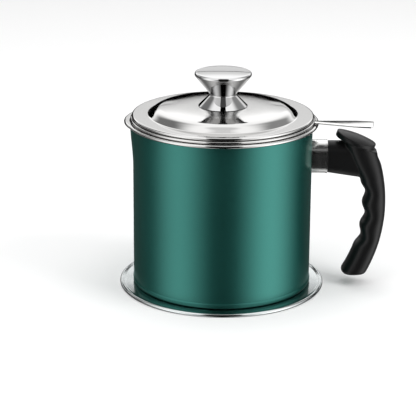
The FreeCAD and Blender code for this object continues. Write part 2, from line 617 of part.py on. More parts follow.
def knob_cap():
    middle = KNOB_TOP_DIAMETER / 2 - KNOB_SHEET / 2
    slope = math.radians(KNOB_CAP_SLOPE)
    crown = (middle - KNOB_CAP_EDGE * (1 - math.sin(slope))) / math.sin(slope)
    rise = crown * (1 - math.cos(slope)) + KNOB_CAP_EDGE * math.cos(slope)
    start = Vector(0, 0, knob_base_z() + KNOB_RIM_HEIGHT + rise)
    moves = [(crown, -KNOB_CAP_SLOPE), (KNOB_CAP_EDGE, KNOB_CAP_SLOPE - 90)]
    return turned(sheet(start, 0, moves, KNOB_SHEET))


def knob_boss():
    """Tapped steel spacer between the lid and the knob's waist."""
    bottom = knob_base_z()
    radius = KNOB_WAIST_DIAMETER / 2 - KNOB_SHEET - FIT_CLEARANCE
    length = KNOB_WAIST_HEIGHT + KNOB_BOSS_OVERRUN
    boss = Part.makeCylinder(radius, length, Vector(0, 0, bottom))
    return boss.cut(Part.makeCylinder(THREAD_HOLE, length, Vector(0, 0, bottom)))


def knob_washer():
    top = knob_base_z() - LID_SHEET - THREAD_CLEARANCE
    return ring(KNOB_WASHER_DIAMETER / 2, SCREW_HOLE, top - WASHER_THICKNESS, top)


def knob_screw():
    seat = knob_base_z() - LID_SHEET - THREAD_CLEARANCE - WASHER_THICKNESS
    bottom = seat - KNOB_SCREW_HEAD_HEIGHT
    head = Part.makeCylinder(KNOB_SCREW_HEAD / 2, KNOB_SCREW_HEAD_HEIGHT, Vector(0, 0, bottom))
    rim = [edge for edge in head.Edges if abs(edge.CenterOfMass.z - bottom) < THREAD_CLEARANCE]
    head = head.makeFillet(KNOB_SCREW_HEAD_HEIGHT * 0.45, rim)
    shank = Part.makeCylinder(SCREW_RADIUS, KNOB_SCREW_LENGTH, Vector(0, 0, seat))
    depth = KNOB_SCREW_HEAD_HEIGHT * 0.6
    arm = KNOB_SCREW_HEAD_HEIGHT * 1.6
    cutters = [Part.makeBox(x, y, depth, Vector(-x / 2, -y / 2, bottom))
               for x, y in ((SCREW_SLOT, arm), (arm, SCREW_SLOT))]
    return head.fuse(shank).cut(cutters[0]).cut(cutters[1])


PIECES = (
    tray,
    pot_body, handle_bracket, ferrule, handle_grip, handle_washer, handle_spring_washer, handle_screw,
    strainer_frame, strainer_mesh, strainer_clamp_ring, strainer_tab,
    lid_shell, lid_skirt, knob_body, knob_cap, knob_boss, knob_washer, knob_screw,
)

os.makedirs("parts", exist_ok=True)
for piece in PIECES:
    piece().exportStep("parts/" + piece.__name__ + ".step")
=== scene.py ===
"""Looks of the grease container: a lidded pouring pot with a strainer, on its drip tray.

Sizes are in millimetres and are turned into metres where a mesh is made. The sections follow the container
as it is put together: drip tray, pot, handle fittings, grip, strainer, lid and knob. The studio and the
camera come last, and their sizes are in metres.
"""

import bmesh
import bpy
import math

from mathutils import Matrix, Vector


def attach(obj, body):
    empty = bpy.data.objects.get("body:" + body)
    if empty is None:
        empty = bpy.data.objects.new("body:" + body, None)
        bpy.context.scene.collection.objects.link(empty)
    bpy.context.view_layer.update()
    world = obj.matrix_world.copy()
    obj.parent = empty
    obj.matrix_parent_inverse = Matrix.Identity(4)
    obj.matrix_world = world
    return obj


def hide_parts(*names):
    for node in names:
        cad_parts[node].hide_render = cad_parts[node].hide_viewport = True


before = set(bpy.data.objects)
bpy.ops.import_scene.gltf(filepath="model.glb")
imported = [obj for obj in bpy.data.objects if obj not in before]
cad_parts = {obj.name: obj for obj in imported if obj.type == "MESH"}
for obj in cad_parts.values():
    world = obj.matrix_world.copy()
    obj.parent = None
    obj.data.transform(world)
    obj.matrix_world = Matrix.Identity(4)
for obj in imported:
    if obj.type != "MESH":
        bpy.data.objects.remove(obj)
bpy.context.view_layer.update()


# --- drip tray ---------------------------------------------------------------------------------------------
# A flat plate of stainless steel, turned on a lathe so that fine rings run round it. Its edge steps up a
# little and is rolled down to the table, which stiffens it and hides the cut.

mm = 0.001
merge_distance = 1e-6           # metres
longest_straight_step = 3.0
longest_bend_step = 1.2
widest_bend_turn = 7.0          # degrees
row_beside_bend = 0.3           # a row of points so near a bend keeps the straight run's shading straight


def placed(name, data):
    """New object in the scene, made of a mesh, a lamp or a camera."""
    thing = bpy.data.objects.new(name, data)
    bpy.context.scene.collection.objects.link(thing)
    return thing


def direction(degrees):
    """Unit vector at an angle."""
    return Vector((math.cos(math.radians(degrees)), math.sin(math.radians(degrees))))


def sheet_section(start, heading, moves, thickness, straight_step=longest_straight_step):
    """Outline of a bent sheet as (radius, height) points: along its left face and back along its right one.
    The middle line leaves start at heading, in degrees. A move is (length,) for a straight run or
    (radius, turn) for a bend."""
    faces = []
    for side in (thickness / 2, -thickness / 2):
        point, angle = Vector(start), heading
        outline = [point + direction(angle + 90) * side]
        for move in moves:
            if len(move) == 1:
                run, offset = move[0], direction(angle + 90) * side
                steps = max(1, round(run / straight_step))
                beside = min(row_beside_bend, run / 4)
                stops = [beside] + [run * k / steps for k in range(1, steps)] + [run - beside, run]
                outline += [point + direction(angle) * stop + offset for stop in sorted(stops)]
                point = point + direction(angle) * run
            else:
                radius, turn = move
                towards = 90 if turn > 0 else -90
                centre = point + direction(angle + towards) * radius
                reach = radius - side if turn > 0 else radius + side
                spoke = angle - towards
                arc = radius * math.radians(abs(turn))
                steps = max(2, math.ceil(abs(turn) / widest_bend_turn), math.ceil(arc / longest_bend_step))
                spokes = [spoke + turn * k / steps for k in range(1, steps + 1)]
                outline += [centre + direction(degrees) * reach for degrees in spokes]
                point = centre + direction(spoke + turn) * radius
                angle += turn
        faces.append(outline)
    return faces[0] + faces[1][::-1]


def calc(tree, operation, *values):
    """Result of a math node in a tree, fed with sockets or numbers."""
    node = tree.nodes.new("ShaderNodeMath")
    node.operation = operation
    for socket, value in zip(node.inputs, values):
        if isinstance(value, (int, float)):
            socket.default_value = value
        else:
            tree.links.new(value, socket)
    return node.outputs[0]


def turning_tree():
    """Geometry Nodes: turns a section, given as a string of points, once round the Z axis."""
    tree = bpy.data.node_groups.new("turned_section", "GeometryNodeTree")
    for name, kind, way in (("Section", "Geometry", "INPUT"), ("Segments", "Int", "INPUT"),
                            ("Finish", "Material", "INPUT"), ("Piece", "Geometry", "OUTPUT")):
        tree.interface.new_socket(name, in_out=way, socket_type="NodeSocket" + kind)
    add, join = tree.nodes.new, tree.links.new
    given, made = add("NodeGroupInput"), add("NodeGroupOutput")
    count = add("GeometryNodeAttributeDomainSize")
    join(given.outputs["Section"], count.inputs["Geometry"])
    points = count.outputs["Point Count"]
    web = add("GeometryNodeMeshGrid")
    join(calc(tree, "ADD", given.outputs["Segments"], 1), web.inputs["Vertices X"])
    join(points, web.inputs["Vertices Y"])
    index = add("GeometryNodeInputIndex").outputs[0]
    along = calc(tree, "MODULO", index, points)
    spoke = calc(tree, "FLOOR", calc(tree, "DIVIDE", calc(tree, "ADD", index, 0.5), points))
    angle = calc(tree, "DIVIDE", calc(tree, "MULTIPLY", spoke, 2 * math.pi), given.outputs["Segments"])
    picked = add("GeometryNodeSampleIndex")
    picked.data_type = "FLOAT_VECTOR"
    join(given.outputs["Section"], picked.inputs["Geometry"])
    join(add("GeometryNodeInputPosition").outputs[0], picked.inputs["Value"])
    join(along, picked.inputs["Index"])
    swung = add("ShaderNodeVectorRotate")
    swung.rotation_type = "Z_AXIS"
    join(picked.outputs["Value"], swung.inputs["Vector"])
    join(angle, swung.inputs["Angle"])
    round_axis = add("GeometryNodeSetPosition")
    join(web.outputs["Mesh"], round_axis.inputs["Geometry"])
    join(swung.outputs[0], round_axis.inputs["Position"])
    merged = add("GeometryNodeMergeByDistance")
    merged.inputs["Distance"].default_value = 2 * merge_distance
    join(round_axis.outputs[0], merged.inputs["Geometry"])
    real = add("GeometryNodeRealizeInstances")
    join(merged.outputs[0], real.inputs[0])
    finished = add("GeometryNodeSetMaterial")
    join(real.outputs[0], finished.inputs["Geometry"])
    join(given.outputs["Finish"], finished.inputs["Material"])
    join(finished.outputs[0], made.inputs["Piece"])
    return tree


turned_section = turning_tree()


def made_plain(name, points, tree, settings):
    """A new object whose mesh is what a Geometry Nodes tree makes of a string of points."""
    string = bpy.data.meshes.new(name)
    string.from_pydata(points, [(k, k + 1) for k in range(len(points) - 1)], [])
    piece = placed(name, string)
    modifier = piece.modifiers.new(tree.name, "NODES")
    modifier.node_group = tree
    for socket in tree.interface.items_tree:
        if socket.name in settings:
            modifier[socket.identifier] = settings[socket.name]
    bpy.context.view_layer.update()
    graph = bpy.context.evaluated_depsgraph_get()
    mesh = bpy.data.meshes.new_from_object(piece.evaluated_get(graph))
    piece.modifiers.clear()
    piece.data = mesh
    bpy.data.meshes.remove(string)
    mesh.name = name
    mesh.materials.clear()
    mesh.materials.append(settings["Finish"])
    mesh.polygons.foreach_set("material_index", [0] * len(mesh.polygons))
    return piece


def smoothed(piece, sharp_degrees=35.0, outwards=True):
    """Merges what lies together, turns the faces outwards and shades smooth up to the sharp angle."""
    mesh = piece.data
    work = bmesh.new()
    work.from_mesh(mesh)
    bmesh.ops.remove_doubles(work, verts=work.verts, dist=merge_distance)
    bmesh.ops.delete(work, geom=[edge for edge in work.edges if not edge.link_faces], context="EDGES")
    if outwards:
        bmesh.ops.recalc_face_normals(work, faces=work.faces)
    work.to_mesh(mesh)
    work.free()
    mesh.shade_smooth()
    mesh.set_sharp_from_angle(angle=math.radians(sharp_degrees))
    return piece


def turned(name, section, material, segments=320):
    """Piece turned from a section of (radius, height) points: a closed ring if that starts off the axis."""
    points = [Vector((radius, 0, height)) * mm for radius, height in section]
    if points[0].x > merge_distance:
        points.append(points[0].copy())
    piece = made_plain(name, points, turned_section, {"Segments": segments, "Finish": material})
    return smoothed(piece)


def shader_group(name, sockets):
    """Empty shader node group with named inputs (name, kind, value) and outputs (name, kind)."""
    tree = bpy.data.node_groups.new(name, "ShaderNodeTree")
    for socket in sockets:
        way = "INPUT" if len(socket) == 3 else "OUTPUT"
        made = tree.interface.new_socket(socket[0], in_out=way, socket_type="NodeSocket" + socket[1])
        if way == "INPUT":
            made.default_value = socket[2]
    return tree, tree.nodes.new("NodeGroupInput"), tree.nodes.new("NodeGroupOutput")


def noise(tree, vector, scale, detail, distortion=0.0):
    """Noise from 0 to 1, whose scale is a number or a socket."""
    node = tree.nodes.new("ShaderNodeTexNoise")
    node.inputs["Detail"].default_value = detail
    node.inputs["Distortion"].default_value = distortion
    tree.links.new(vector, node.inputs["Vector"])
    if isinstance(scale, (int, float)):
        node.inputs["Scale"].default_value = scale
    else:
        tree.links.new(scale, node.inputs["Scale"])
    return node.outputs["Fac"]


def polar(tree):
    """Sockets of the object's own place: (whole place, x, y, z, distance from the Z axis)."""
    place = tree.nodes.new("ShaderNodeTexCoord").outputs["Object"]
    parts = tree.nodes.new("ShaderNodeSeparateXYZ")
    tree.links.new(place, parts.inputs[0])
    x, y, z = parts.outputs
    radius = calc(tree, "SQRT", calc(tree, "ADD", calc(tree, "MULTIPLY", x, x), calc(tree, "MULTIPLY", y, y)))
    return place, x, y, z, radius


ring_change_round = 0.0004      # metres through the noise for each radian, so that rings fade in and out
hazes_per_metre, haze_from, haze_full = 34.0, 0.46, 0.74
finest_polish = 0.02


def spun_group():
    """Rings that turning and polishing leave round the axis, with the faint haze of handling over them."""
    tree, given, made = shader_group("spun_steel", (
        ("Roughness", "Float", 0.1), ("Rings", "Float", 0.03), ("Rings per Metre", "Float", 2500.0),
        ("Haze", "Float", 0.05), ("Roughness", "Float"), ("Ring Height", "Float"), ("Haze Mask", "Float")))
    place, x, y, z, radius = polar(tree)
    ring_place = tree.nodes.new("ShaderNodeCombineXYZ")
    tree.links.new(radius, ring_place.inputs[0])
    tree.links.new(z, ring_place.inputs[1])
    turn = calc(tree, "ARCTAN2", y, x)
    tree.links.new(calc(tree, "MULTIPLY", turn, ring_change_round), ring_place.inputs[2])
    rings = noise(tree, ring_place.outputs[0], given.outputs["Rings per Metre"], 3.0)
    haze = noise(tree, place, hazes_per_metre, 5.0, 0.7)
    mask = tree.nodes.new("ShaderNodeMapRange")
    mask.inputs["From Min"].default_value = haze_from
    mask.inputs["From Max"].default_value = haze_full
    tree.links.new(haze, mask.inputs["Value"])
    grooved = calc(tree, "MULTIPLY", calc(tree, "SUBTRACT", rings, 0.5), given.outputs["Rings"])
    hazed = calc(tree, "MULTIPLY", mask.outputs["Result"], given.outputs["Haze"])
    total = calc(tree, "ADD", given.outputs["Roughness"], calc(tree, "ADD", grooved, hazed))
    tree.links.new(calc(tree, "MAXIMUM", total, finest_polish), made.inputs["Roughness"])
    tree.links.new(rings, made.inputs["Ring Height"])
    tree.links.new(mask.outputs["Result"], made.inputs["Haze Mask"])
    return tree


spun_steel = spun_group()


def new_material(name):
    """(material, tree, Principled node) of a new material."""
    material = bpy.data.materials.new(name)
    material.use_nodes = True
    return material, material.node_tree, material.node_tree.nodes["Principled BSDF"]


def placed_group(tree, group, **values):
    """A shader node group placed in a material's tree with its own values."""
    node = tree.nodes.new("ShaderNodeGroup")
    node.node_tree = group
    for name, value in values.items():
        node.inputs[name.replace("_", " ")].default_value = value
    return node


def two_colours(tree, mask, first, second):
    """Colour that goes from the first to the second as the mask goes from 0 to 1."""
    mix = tree.nodes.new("ShaderNodeMix")
    mix.data_type = "RGBA"
    mix.inputs["A"].default_value = (*first, 1)
    mix.inputs["B"].default_value = (*second, 1)
    tree.links.new(mask, mix.inputs["Factor"])
    return mix.outputs["Result"]


def bump(tree, shader, height, strength, depth):
    """Feeds a height, whose full range is depth in millimetres, to the shader's normal."""
    node = tree.nodes.new("ShaderNodeBump")
    node.inputs["Strength"].default_value = strength
    node.inputs["Distance"].default_value = depth * mm
    tree.links.new(height, node.inputs["Height"])
    tree.links.new(node.outputs[0], shader.inputs["Normal"])


def spun_material(name, colour, hazed_colour, roughness, rings, pitch, haze, depth):
    """Turned or polished steel with rings round the axis, whose depth is in millimetres."""
    material, tree, shader = new_material(name)
    lines = placed_group(tree, spun_steel, Roughness=roughness, Rings=rings, Rings_per_Metre=pitch, Haze=haze)
    steel_colour = two_colours(tree, lines.outputs["Haze Mask"], colour, hazed_colour)
    shader.inputs["Metallic"].default_value = 1.0
    tree.links.new(steel_colour, shader.inputs["Base Color"])
    tree.links.new(lines.outputs["Roughness"], shader.inputs["Roughness"])
    bump(tree, shader, lines.outputs["Ring Height"], 0.5, depth)
    return material


tray_diameter, tray_sheet = 140.0, 0.6
tray_seat, tray_hem, tray_foot_width = 2.0, 2.6, 1.2
tray_step_slope, tray_edge_turn = 30.0, 70.0

hem_bend = (tray_hem - tray_sheet) / 2
edge_bend = hem_bend * 0.6
step_bend = (tray_hem - tray_seat) / 2 / (1 - math.cos(math.radians(tray_step_slope)))
plate_radius = (tray_diameter / 2 - tray_sheet / 2 - hem_bend
                - 2 * step_bend * math.sin(math.radians(tray_step_slope)))
tray_steel = spun_material("turned_tray_steel", (0.52, 0.55, 0.55), (0.47, 0.505, 0.505),
                           roughness=0.13, rings=0.10, pitch=1500.0, haze=0.05, depth=0.004)
drip_tray = turned("drip_tray", sheet_section(
    (0, tray_seat - tray_sheet / 2), 0,
    [(plate_radius,), (step_bend, tray_step_slope), (step_bend, -tray_step_slope), (hem_bend, -180),
     (tray_foot_width,), (edge_bend, -tray_edge_turn)], tray_sheet), tray_steel)
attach(drip_tray, "tray")
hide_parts("tray")


# --- pot ---------------------------------------------------------------------------------------------------
# A deep-drawn stainless cup with a rolled rim, whose pouring lip is pressed out after turning. The outside
# wall is sprayed with a satin metallic green lacquer up to the roll of the rim; the rest stays bare.

pot_radius, pot_sheet = 60.5, 0.6
pot_bottom, pot_top = tray_seat, 115.6
pot_corner, foot_bulge, foot_height = 2.0, 0.4, 3.2
rim_reach, rim_bead, rim_bend = 4.0, 2.1, 1.0
rim_root = pot_top - pot_sheet / 2 - rim_bend
lip_throw, lip_half_angle, lip_height, lip_blend_ratio = 1.9, 21.0, 30.0, 2.0
lip_depth_in_wall = 2.0         # what lies deeper inside the pot than this isn't pressed


def moves_through(points, bends):
    """(start, heading, moves) of a middle line through points, with a bend radius at each inner corner."""
    runs = [Vector(b) - Vector(a) for a, b in zip(points, points[1:])]
    angles = [math.degrees(math.atan2(run.y, run.x)) for run in runs]
    turns = [(b - a + 180) % 360 - 180 for a, b in zip(angles, angles[1:])]
    cuts = [0] + [r * math.tan(math.radians(abs(t)) / 2) for r, t in zip(bends, turns)] + [0]
    moves = []
    for k, run in enumerate(runs):
        moves.append((run.length - cuts[k] - cuts[k + 1],))
        if k < len(turns):
            moves.append((bends[k], turns[k]))
    return points[0], angles[0], moves


def lip_outline(angle, throw):
    """(point, outward direction) of the pot's outline, at an angle in radians from the middle of the lip. The
    lip is a nose arc between two hollow arcs, which leave the wall at the half angle."""
    reach, half, blend = pot_radius + throw, math.radians(lip_half_angle), lip_blend_ratio
    a = 2 * blend * (math.cos(half) - 1)
    b = 2 * (pot_radius * blend - reach) + 2 * math.cos(half) * (pot_radius - blend * reach)
    c = pot_radius ** 2 + reach ** 2 - 2 * pot_radius * reach * math.cos(half)
    nose = (-b - math.sqrt(b * b - 4 * a * c)) / (2 * a)
    hollow = blend * nose
    nose_centre = Vector((reach - nose, 0))
    hollow_centre = Vector((math.cos(half), math.sin(half))) * (pot_radius + hollow)
    meeting = nose_centre + (hollow_centre - nose_centre).normalized() * nose
    ray = Vector((math.cos(angle), abs(math.sin(angle))))
    on_nose = abs(angle) < math.atan2(meeting.y, meeting.x)
    centre, radius = (nose_centre, nose) if on_nose else (hollow_centre, hollow)
    near = centre.dot(ray)
    spread = math.sqrt(max(near * near - centre.length_squared + radius * radius, 0))
    point = ray * (near + spread if on_nose else near - spread)
    outward = (point - centre) / radius if on_nose else (centre - point) / radius
    mirror = Vector((1, math.copysign(1, angle)))
    return point * mirror, outward * mirror


def press_lip(mesh):
    """Presses the pouring lip out of the turned cup, towards -X, deepest at the rim."""
    for vertex in mesh.vertices:
        radius = math.hypot(vertex.co.x, vertex.co.y) / mm
        height = vertex.co.z / mm
        angle = math.atan2(vertex.co.y, -vertex.co.x)
        share = min((height - rim_root + lip_height) / lip_height, 1)
        in_lip = share > 0 and abs(angle) < math.radians(lip_half_angle)
        if in_lip and radius > pot_radius - lip_depth_in_wall:
            point, outward = lip_outline(angle, lip_throw * share * share * (3 - 2 * share))
            point = (point + outward * (radius - pot_radius)) * mm
            vertex.co.x, vertex.co.y = -point.x, point.y


def lacquer():
    """Satin metallic lacquer: fine flake under a clear coat with a trace of orange peel, dulled by hands."""
    material, tree, shader = new_material("green_lacquer")
    dark_green, light_green = (0.018, 0.105, 0.090), (0.028, 0.165, 0.140)
    place = tree.nodes.new("ShaderNodeTexCoord").outputs["Object"]
    flake = noise(tree, place, 2600.0, 2.0)
    cloud = noise(tree, place, 20.0, 4.0, 0.5)
    tone = calc(tree, "ADD", calc(tree, "MULTIPLY", flake, 0.7), calc(tree, "MULTIPLY", cloud, 0.3))
    tree.links.new(two_colours(tree, tone, dark_green, light_green), shader.inputs["Base Color"])
    handled = calc(tree, "ADD", 0.31, calc(tree, "MULTIPLY", cloud, 0.05))
    tree.links.new(handled, shader.inputs["Roughness"])
    shader.inputs["Metallic"].default_value = 0.85
    shader.inputs["Specular Tint"].default_value = (0.03, 0.33, 0.30, 1)
    shader.inputs["Coat Weight"].default_value = 0.28
    shader.inputs["Coat Roughness"].default_value = 0.24
    bump(tree, shader, noise(tree, place, 700.0, 2.0), 0.15, 0.01)
    return material


pot_steel = spun_material("polished_pot_steel", (0.57, 0.567, 0.56), (0.53, 0.527, 0.52),
                          roughness=0.08, rings=0.05, pitch=1800.0, haze=0.05, depth=0.002)
cup_floor = pot_bottom + pot_sheet / 2
cup_wall = pot_radius - pot_sheet / 2
cup_foot = cup_wall + foot_bulge
cup_start, cup_heading, cup_moves = moves_through(
    [(0, cup_floor), (cup_foot, cup_floor), (cup_foot, pot_bottom + foot_height),
     (cup_wall, pot_bottom + foot_height + 2 * foot_bulge), (cup_wall, rim_root)],
    [pot_corner, pot_sheet, pot_sheet])
rim_roll = (rim_bead - pot_sheet) / 2
rim_moves = [(rim_bend, -90), (rim_reach - rim_bend - rim_roll,), (rim_roll, -270)]
cup_section = sheet_section(cup_start, cup_heading, cup_moves + rim_moves, pot_sheet, straight_step=2.7)
pot_cup = turned("pot_cup", cup_section, pot_steel)

# the lacquer covers the faces that look outwards, from the foot to just under the rim's roll
lowest_paint, highest_paint = pot_bottom + 0.05, rim_root + rim_bend * 0.6
widest_paint = pot_radius + 0.7
least_outward = 0.2
pot_cup.data.materials.append(lacquer())
for face in pot_cup.data.polygons:
    height, radius = face.center.z / mm, math.hypot(face.center.x, face.center.y) / mm
    outward = (face.normal.x * face.center.x + face.normal.y * face.center.y) / mm / max(radius, 1)
    if outward > least_outward and lowest_paint < height < highest_paint and radius < widest_paint:
        face.material_index = 1
press_lip(pot_cup.data)
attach(pot_cup, "pot")
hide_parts("pot_body")


# --- handle fittings ---------------------------------------------------------------------------------------
# An oval tube of brushed steel hides the bracket that is welded to the wall. One long screw, with a plain and
# a spring washer under its head, is driven from a counterbore in the back of the grip and draws all together.

def brushed_group():
    """Long fine scratches: the place is stretched before it comes in, so that they all run one way."""
    tree, given, made = shader_group("brushed_grain", (
        ("Vector", "Vector", (0, 0, 0)), ("Roughness", "Float", 0.25), ("Spread", "Float", 0.15),
        ("Roughness", "Float"), ("Height", "Float"), ("Tone", "Float")))
    fine = noise(tree, given.outputs["Vector"], 1.0, 4.0)
    broad = noise(tree, given.outputs["Vector"], 0.22, 2.0)
    both = calc(tree, "ADD", calc(tree, "MULTIPLY", fine, 0.65), calc(tree, "MULTIPLY", broad, 0.35))
    spread = calc(tree, "MULTIPLY", calc(tree, "SUBTRACT", both, 0.5), given.outputs["Spread"])
    tree.links.new(calc(tree, "ADD", given.outputs["Roughness"], spread), made.inputs["Roughness"])
    tree.links.new(both, made.inputs["Height"])
    tree.links.new(broad, made.inputs["Tone"])
    return tree


brushed_grain = brushed_group()


def brushed_material(name, dark, light, roughness, spread, scratches, depth):
    """Brushed steel, with so many scratches in a metre along each axis. Their depth is in millimetres."""
    material, tree, shader = new_material(name)
    stretch = tree.nodes.new("ShaderNodeMapping")
    stretch.inputs["Scale"].default_value = scratches
    tree.links.new(tree.nodes.new("ShaderNodeTexCoord").outputs["Object"], stretch.inputs["Vector"])
    grain = placed_group(tree, brushed_grain, Roughness=roughness, Spread=spread)
    tree.links.new(stretch.outputs[0], grain.inputs["Vector"])
    shader.inputs["Metallic"].default_value = 1.0
    tree.links.new(two_colours(tree, grain.outputs["Tone"], dark, light), shader.inputs["Base Color"])
    tree.links.new(grain.outputs["Roughness"], shader.inputs["Roughness"])
    bump(tree, shader, grain.outputs["Height"], 0.4, depth)
    return material


def dress(node, material):
    """Gives a CAD node, which stays as it is, its finish."""
    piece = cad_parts[node]
    for slot in piece.material_slots:
        slot.material = material


ferrule_steel = brushed_material("brushed_ferrule_steel", (0.60, 0.60, 0.59), (0.74, 0.74, 0.73),
                                 roughness=0.23, spread=0.14, scratches=(4200.0, 90.0, 90.0), depth=0.0012)
dress("ferrule", ferrule_steel)

bracket_steel = brushed_material("pickled_bracket_steel", (0.45, 0.45, 0.44), (0.58, 0.57, 0.55),
                                 roughness=0.42, spread=0.25, scratches=(900.0, 900.0, 900.0), depth=0.01)
dress("handle_bracket", bracket_steel)
zinc_steel = brushed_material("zinc_plated_steel", (0.55, 0.56, 0.58), (0.68, 0.68, 0.67),
                              roughness=0.3, spread=0.2, scratches=(1500.0, 1500.0, 1500.0), depth=0.004)
for fastener in ("handle_washer", "handle_spring_washer", "handle_screw"):
    dress(fastener, zinc_steel)


# --- grip --------------------------------------------------------------------------------------------------
# One moulding of black phenolic plastic: an oval neck, a curved grip with three finger hollows and a crowned
# thumb rest. The mould leaves its fine even grain and softens each inner corner.

grip_voxel = 0.42
grip_rounding_passes, grip_rounding_share = 5, 0.5


def grip_plastic():
    """Black plastic with a fine moulded grain, a little shinier where hands polish it."""
    material, tree, shader = new_material("black_grip_plastic")
    place = tree.nodes.new("ShaderNodeTexCoord").outputs["Object"]
    black, worn_black = (0.0045, 0.0045, 0.0048), (0.007, 0.007, 0.0072)
    grain = noise(tree, place, 2200.0, 3.0)
    handled = noise(tree, place, 45.0, 4.0, 0.6)
    tree.links.new(two_colours(tree, handled, black, worn_black), shader.inputs["Base Color"])
    spread = calc(tree, "MULTIPLY", handled, -0.12)
    tree.links.new(calc(tree, "ADD", 0.42, spread), shader.inputs["Roughness"])
    shader.inputs["Specular IOR Level"].default_value = 0.26
    bump(tree, shader, grain, 0.35, 0.02)
    return material


grip_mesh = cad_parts["handle_grip"].data.copy()
grip_mesh.materials.clear()
grip = placed("moulded_grip", grip_mesh)
smoothed(grip, outwards=False)
remesh = grip.modifiers.new("even_skin", "REMESH")
remesh.mode = "VOXEL"
remesh.voxel_size = grip_voxel * mm
soften = grip.modifiers.new("mould_rounding", "SMOOTH")
soften.iterations = grip_rounding_passes
soften.factor = grip_rounding_share
bpy.context.view_layer.update()
grip_skin = bpy.data.meshes.new_from_object(grip.evaluated_get(bpy.context.evaluated_depsgraph_get()))
grip.modifiers.clear()
grip.data = grip_skin
grip_skin.name = "moulded_grip"
grip_skin.materials.clear()
grip_skin.materials.append(grip_plastic())
grip_skin.shade_smooth()
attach(grip, "pot")
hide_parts("handle_grip")


# --- strainer ----------------------------------------------------------------------------------------------
# A cup of woven stainless wire, pressed to shape from a flat disc. A plain ring clamps its edge inside a
# rolled frame of bright sheet, and a flat tab for lifting it out is welded to the frame's roll.

skirt_gap, seat_gap = 0.6, 0.15
strainer_sheet, strainer_reach, strainer_bead, strainer_bend = 0.5, 2.9, 1.7, 0.9
frame_depth, strainer_depth = 10.5, 40.0
skirt_radius = pot_radius - pot_sheet - skirt_gap
strainer_radius = skirt_radius + strainer_reach
strainer_bottom = pot_top + seat_gap
strainer_top = strainer_bottom + strainer_bead
frame_bottom = strainer_top - frame_depth

bright_steel = spun_material("bright_frame_steel", (0.57, 0.567, 0.56), (0.54, 0.537, 0.53),
                             roughness=0.06, rings=0.04, pitch=2200.0, haze=0.04, depth=0.002)
frame_roll = (strainer_bead - strainer_sheet) / 2
rolled_frame = turned("strainer_rolled_frame", sheet_section(
    (skirt_radius - strainer_sheet / 2, frame_bottom), 90,
    [(strainer_top - strainer_sheet / 2 - strainer_bend - frame_bottom,), (strainer_bend, -90),
     (strainer_reach - strainer_bend - frame_roll,), (frame_roll, -270)], strainer_sheet), bright_steel)
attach(rolled_frame, "strainer")
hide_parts("strainer_frame")

clamp_height = 4.5
clamp_steel = brushed_material("brushed_clamp_steel", (0.56, 0.56, 0.55), (0.68, 0.68, 0.67),
                               roughness=0.28, spread=0.2, scratches=(300.0, 300.0, 3600.0), depth=0.004)
dress("strainer_clamp_ring", clamp_steel)

mesh_gap, mesh_thickness, mesh_edge_drop = 0.05, 0.45, 0.4
mesh_bottom_radius, mesh_corner, mesh_bend = 48.0, 9.0, 4.5
mesh_middle = skirt_radius - strainer_sheet - mesh_gap - mesh_thickness / 2
mesh_floor = strainer_top - strainer_depth + mesh_thickness / 2
wire_pitch, wire_diameter = 1.3, 0.42
wire_corners, wire_corner_reach = 3, 0.58       # a three-sided wire; the reach is in wire diameters


